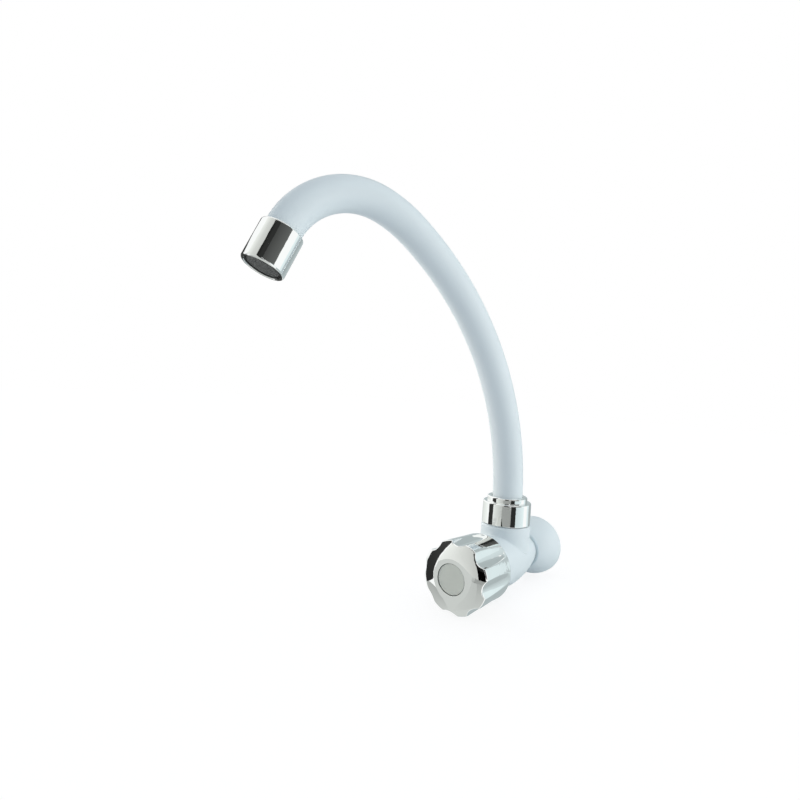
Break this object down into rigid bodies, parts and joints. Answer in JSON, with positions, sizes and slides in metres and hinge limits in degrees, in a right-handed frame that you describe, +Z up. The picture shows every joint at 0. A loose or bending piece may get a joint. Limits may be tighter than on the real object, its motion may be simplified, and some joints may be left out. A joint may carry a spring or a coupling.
{
  "type": "wall-mounted kitchen tap",
  "caption": "Wall-mounted cold-water kitchen tap: a fluted turning knob on a horizontal valve body, a swivelling swan-neck spout above it and an aerator at its end.",
  "frame": {"origin": "centre of the threaded inlet where it passes through the wall face", "axes": "+Z up, +Y into the wall along the inlet, -Y out along the valve towards the knob"},
  "size_m": [0.093, 0.2414, 0.2477],
  "materials": {
    "white_plastic": "satin moulded white with a faint cool tint",
    "chrome": "bright plated",
    "cap_plastic": "matte light grey",
    "brass": "turned, unplated",
    "rubber": "matte black",
    "steel": "plain",
    "nylon": "natural white",
    "dark_plastic": "matte black",
    "mesh": "dark woven wire"
  },
  "bodies": {
    "root": {"tap_body": "white_plastic", "wall_flange": "white_plastic", "wall_seal": "rubber", "valve_seat": "brass", "headwork": "brass", "headwork_seal": "rubber", "thrust_washer": "nylon", "swivel_nut": "chrome", "bearing_washer": "nylon"},
    "spout": {"spout_tube": "white_plastic", "spout_spigot": "nylon", "spigot_rings": "rubber", "retaining_ring": "nylon", "outlet_nipple": "nylon", "aerator_housing": "chrome", "aerator_washer": "rubber", "aerator_cartridge": "dark_plastic", "inlet_screen": "mesh", "flow_straightener": "dark_plastic", "outlet_screen": "mesh"},
    "knob": {"knob_shell": "chrome", "knob_core": "nylon", "knob_screw": "steel", "knob_cap": "cap_plastic", "spindle": "brass", "spindle_rings": "rubber", "circlip": "steel"},
    "valve": {"jumper": "brass", "seat_washer": "rubber", "washer_screw": "steel"}
  },
  "joints": [
    {"name": "spout_swivel", "type": "hinge", "parent": "root", "child": "spout", "pos_m": [0, -0.0495, 0], "axis": [0, 0, 1], "range_deg": [-75, 114]},
    {"name": "knob_turn", "type": "hinge", "parent": "root", "child": "knob", "pos_m": [0, -0.08, 0], "axis": [0, -1, 0], "range_deg": [0, 900]},
    {"name": "valve_travel", "type": "slide", "parent": "root", "child": "valve", "axis": [0, -1, 0], "range_m": [0, 0.0051]}
  ],
  "couplings": [
    {"joint": "valve_travel", "follows": "knob_turn", "m_per_rad": 0.00031831}
  ]
}
